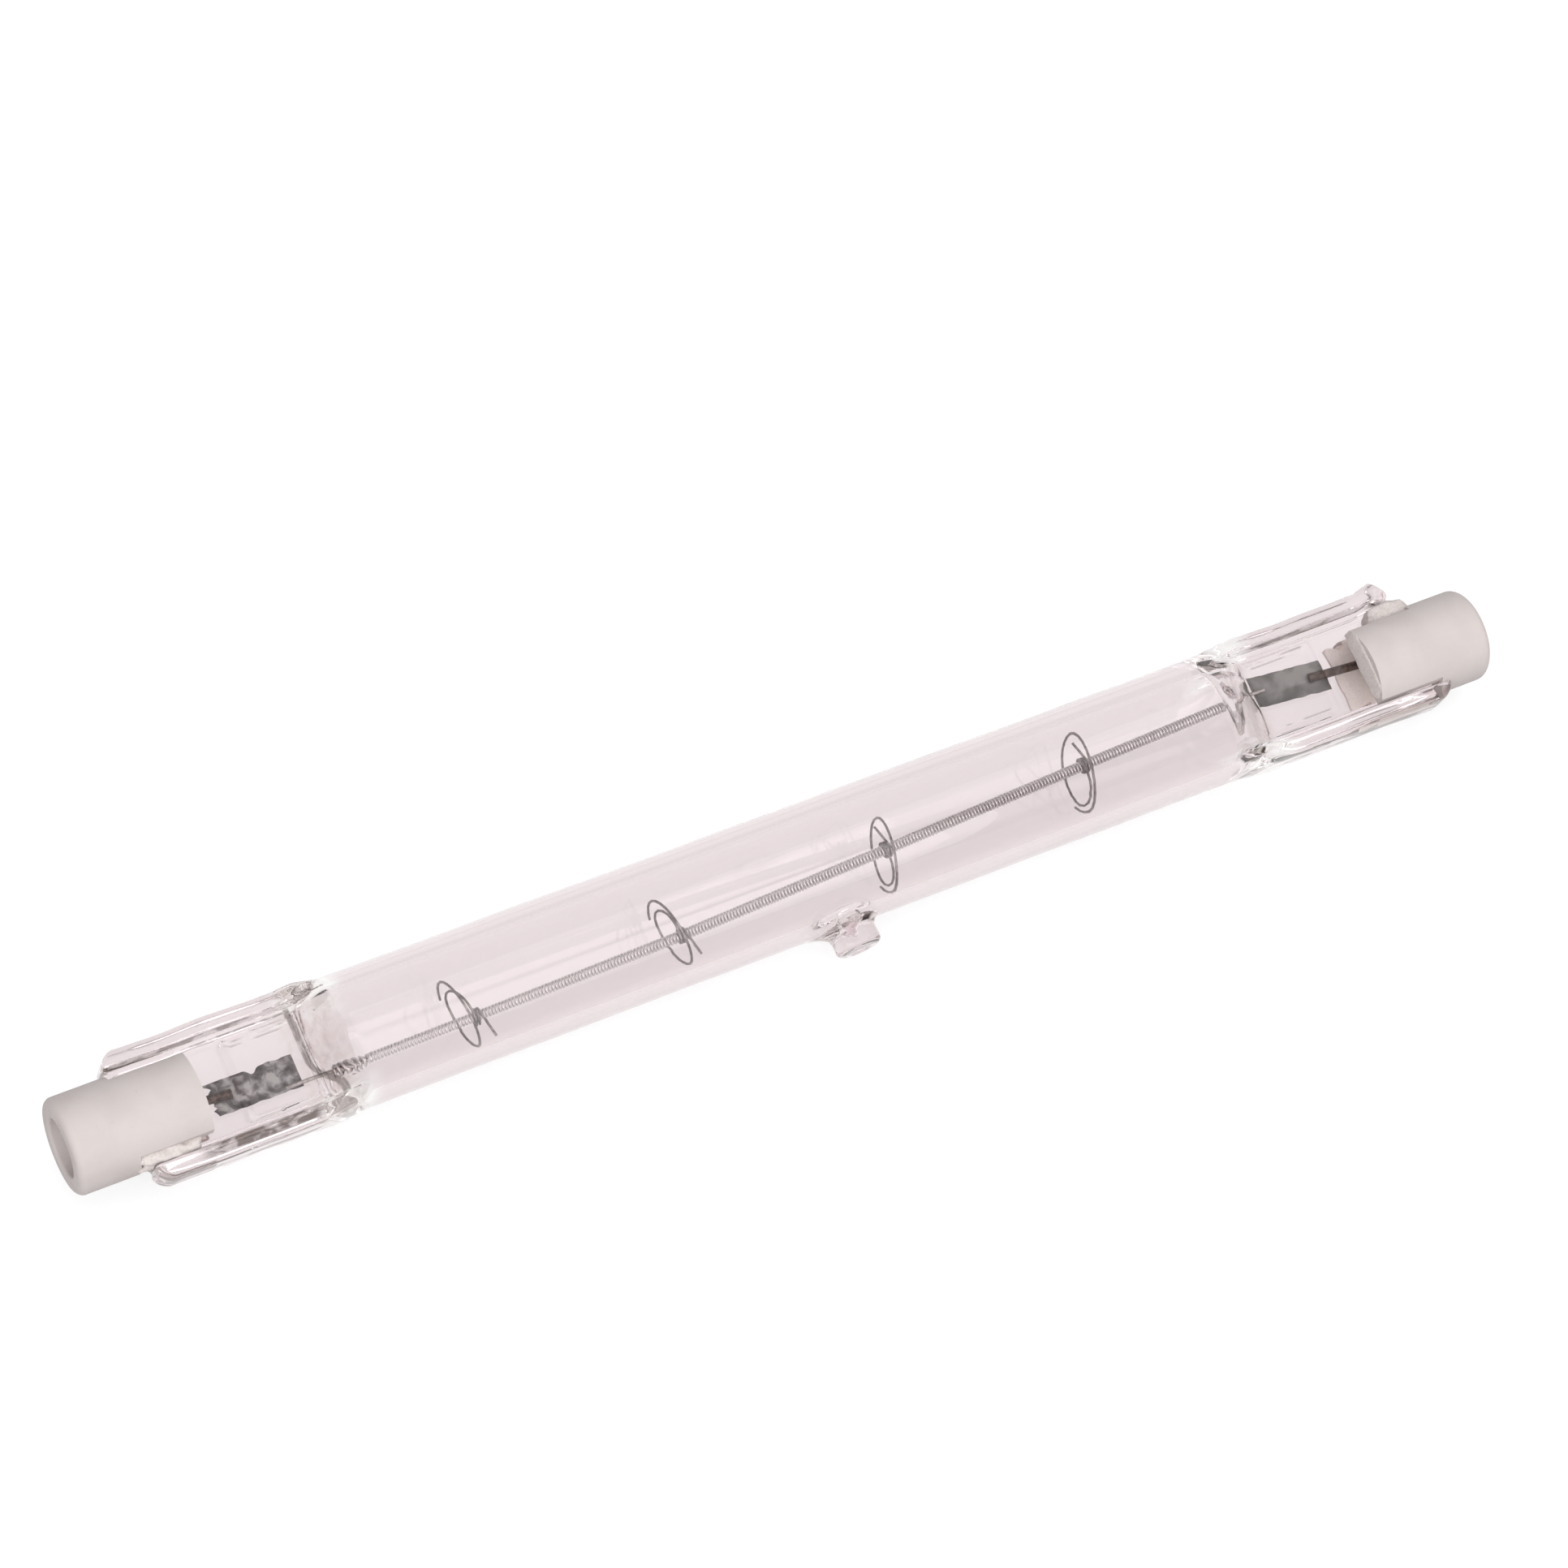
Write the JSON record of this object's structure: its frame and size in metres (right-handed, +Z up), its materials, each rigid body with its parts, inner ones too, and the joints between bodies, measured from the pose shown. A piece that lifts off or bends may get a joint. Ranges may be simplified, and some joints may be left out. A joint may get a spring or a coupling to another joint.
{
  "type": "linear halogen bulb",
  "caption": "Double-ended linear halogen bulb: clear quartz tube with pinched ends, coiled filament on wire supports, exhaust tip and recessed ceramic end caps.",
  "frame": {"origin": "middle of the quartz tube's axis, half-way between the two cap ends", "axes": "+X along the bulb towards the right cap, +Z up as the bulb lies on its tube and exhaust tip"},
  "size_m": [0.1176, 0.0119, 0.01],
  "materials": {
    "quartz": "clear fused quartz",
    "tungsten": "drawn wire, satin",
    "support_wire": "drawn wire, satin",
    "sealing_foil": "dull, mottled",
    "outer_lead": "oxidised brown",
    "ceramic": "unglazed, matt",
    "contact_metal": "satin nickel",
    "cement": "dull, grainy"
  },
  "bodies": {
    "root": {"quartz_envelope": "quartz", "filament": "tungsten", "filament_support_1": "support_wire", "filament_support_2": "support_wire", "filament_support_3": "support_wire", "filament_support_4": "support_wire", "inner_lead_left": "tungsten", "inner_lead_right": "tungsten", "foil_left": "sealing_foil", "foil_right": "sealing_foil", "outer_lead_left": "outer_lead", "outer_lead_right": "outer_lead", "cap_left": "ceramic", "cap_right": "ceramic", "contact_left": "contact_metal", "contact_right": "contact_metal", "cement_left": "cement", "cement_right": "cement"}
  },
  "joints": []
}
